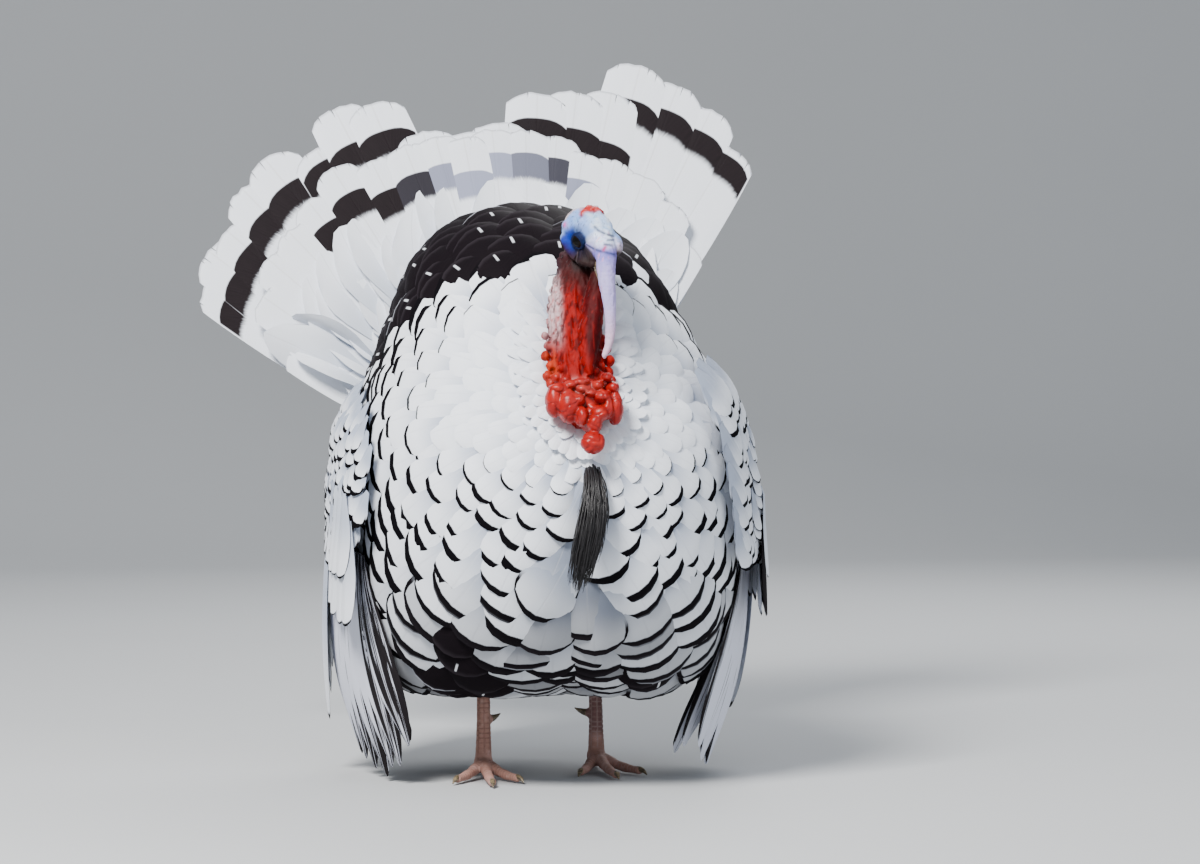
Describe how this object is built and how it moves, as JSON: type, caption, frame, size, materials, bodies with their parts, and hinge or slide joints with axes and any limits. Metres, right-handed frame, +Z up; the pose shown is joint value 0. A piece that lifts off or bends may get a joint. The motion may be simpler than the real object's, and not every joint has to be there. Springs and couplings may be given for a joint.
{
  "type": "domestic turkey",
  "caption": "Life-size still model of a domestic turkey tom in full strut, white plumage edged with black, tail fanned and wings drooped, standing on both feet.",
  "frame": {"origin": "middle of the base of the bounding box, on the floor that the feet stand on", "axes": "+Z up, -Y ahead where the breast points, +X to the bird's own left"},
  "size_m": [0.5948, 0.6544, 0.7312],
  "materials": {
    "white_feather": "soft white contour feathers edged with black",
    "black_feather": "soft black contour feathers with a faint sheen",
    "tail_feather": "white vane with a black band before a white tip",
    "quill_feather": "black vane with white edges and a pale shaft",
    "head_skin": "bare wrinkled skin, pale blue crown, vivid blue face",
    "snood_skin": "soft moist lavender skin",
    "neck_skin": "bare folded skin, red to dark red, pebbled pink behind",
    "caruncle_skin": "smooth swollen bright red skin",
    "horn": "horn of the bill, spurs and claws, satin",
    "eye": "wet dark brown eye, glossy",
    "beard_bristle": "coarse black bristles",
    "leg_skin": "scaly pinkish brown leg skin, matt"
  },
  "bodies": {
    "root": {"back": "black_feather", "beard": "beard_bristle", "belly": "white_feather", "bill_lower": "horn", "bill_upper": "horn", "breast": "white_feather", "caruncle_front": "caruncle_skin", "caruncle_left": "caruncle_skin", "caruncle_right": "caruncle_skin", "dewlap": "neck_skin", "eye_left": "eye", "eye_right": "eye", "foot_left": "leg_skin", "foot_right": "leg_skin", "head": "head_skin", "neck": "neck_skin", "rump": "white_feather", "shank_left": "leg_skin", "shank_right": "leg_skin", "snood": "snood_skin", "spur_left": "horn", "spur_right": "horn", "tail_base": "white_feather", "tail_coverts": "white_feather", "tail_feather_01": "tail_feather", "tail_feather_02": "tail_feather", "tail_feather_03": "tail_feather", "tail_feather_04": "tail_feather", "tail_feather_05": "tail_feather", "tail_feather_06": "tail_feather", "tail_feather_07": "tail_feather", "tail_feather_08": "tail_feather", "tail_feather_09": "tail_feather", "tail_feather_10": "tail_feather", "tail_feather_11": "tail_feather", "tail_feather_12": "tail_feather", "tail_feather_13": "tail_feather", "tail_feather_14": "tail_feather", "tail_feather_15": "tail_feather", "tail_feather_16": "tail_feather", "tail_feather_17": "tail_feather", "tail_feather_18": "tail_feather", "thigh_left": "black_feather", "thigh_right": "black_feather", "under_tail_coverts": "white_feather", "wing_left_coverts": "white_feather", "wing_left_primary_1": "quill_feather", "wing_left_primary_2": "quill_feather", "wing_left_primary_3": "quill_feather", "wing_left_primary_4": "quill_feather", "wing_left_primary_5": "quill_feather", "wing_left_secondaries": "white_feather", "wing_right_coverts": "white_feather", "wing_right_primary_1": "quill_feather", "wing_right_primary_2": "quill_feather", "wing_right_primary_3": "quill_feather", "wing_right_primary_4": "quill_feather", "wing_right_primary_5": "quill_feather", "wing_right_secondaries": "white_feather"}
  },
  "joints": []
}
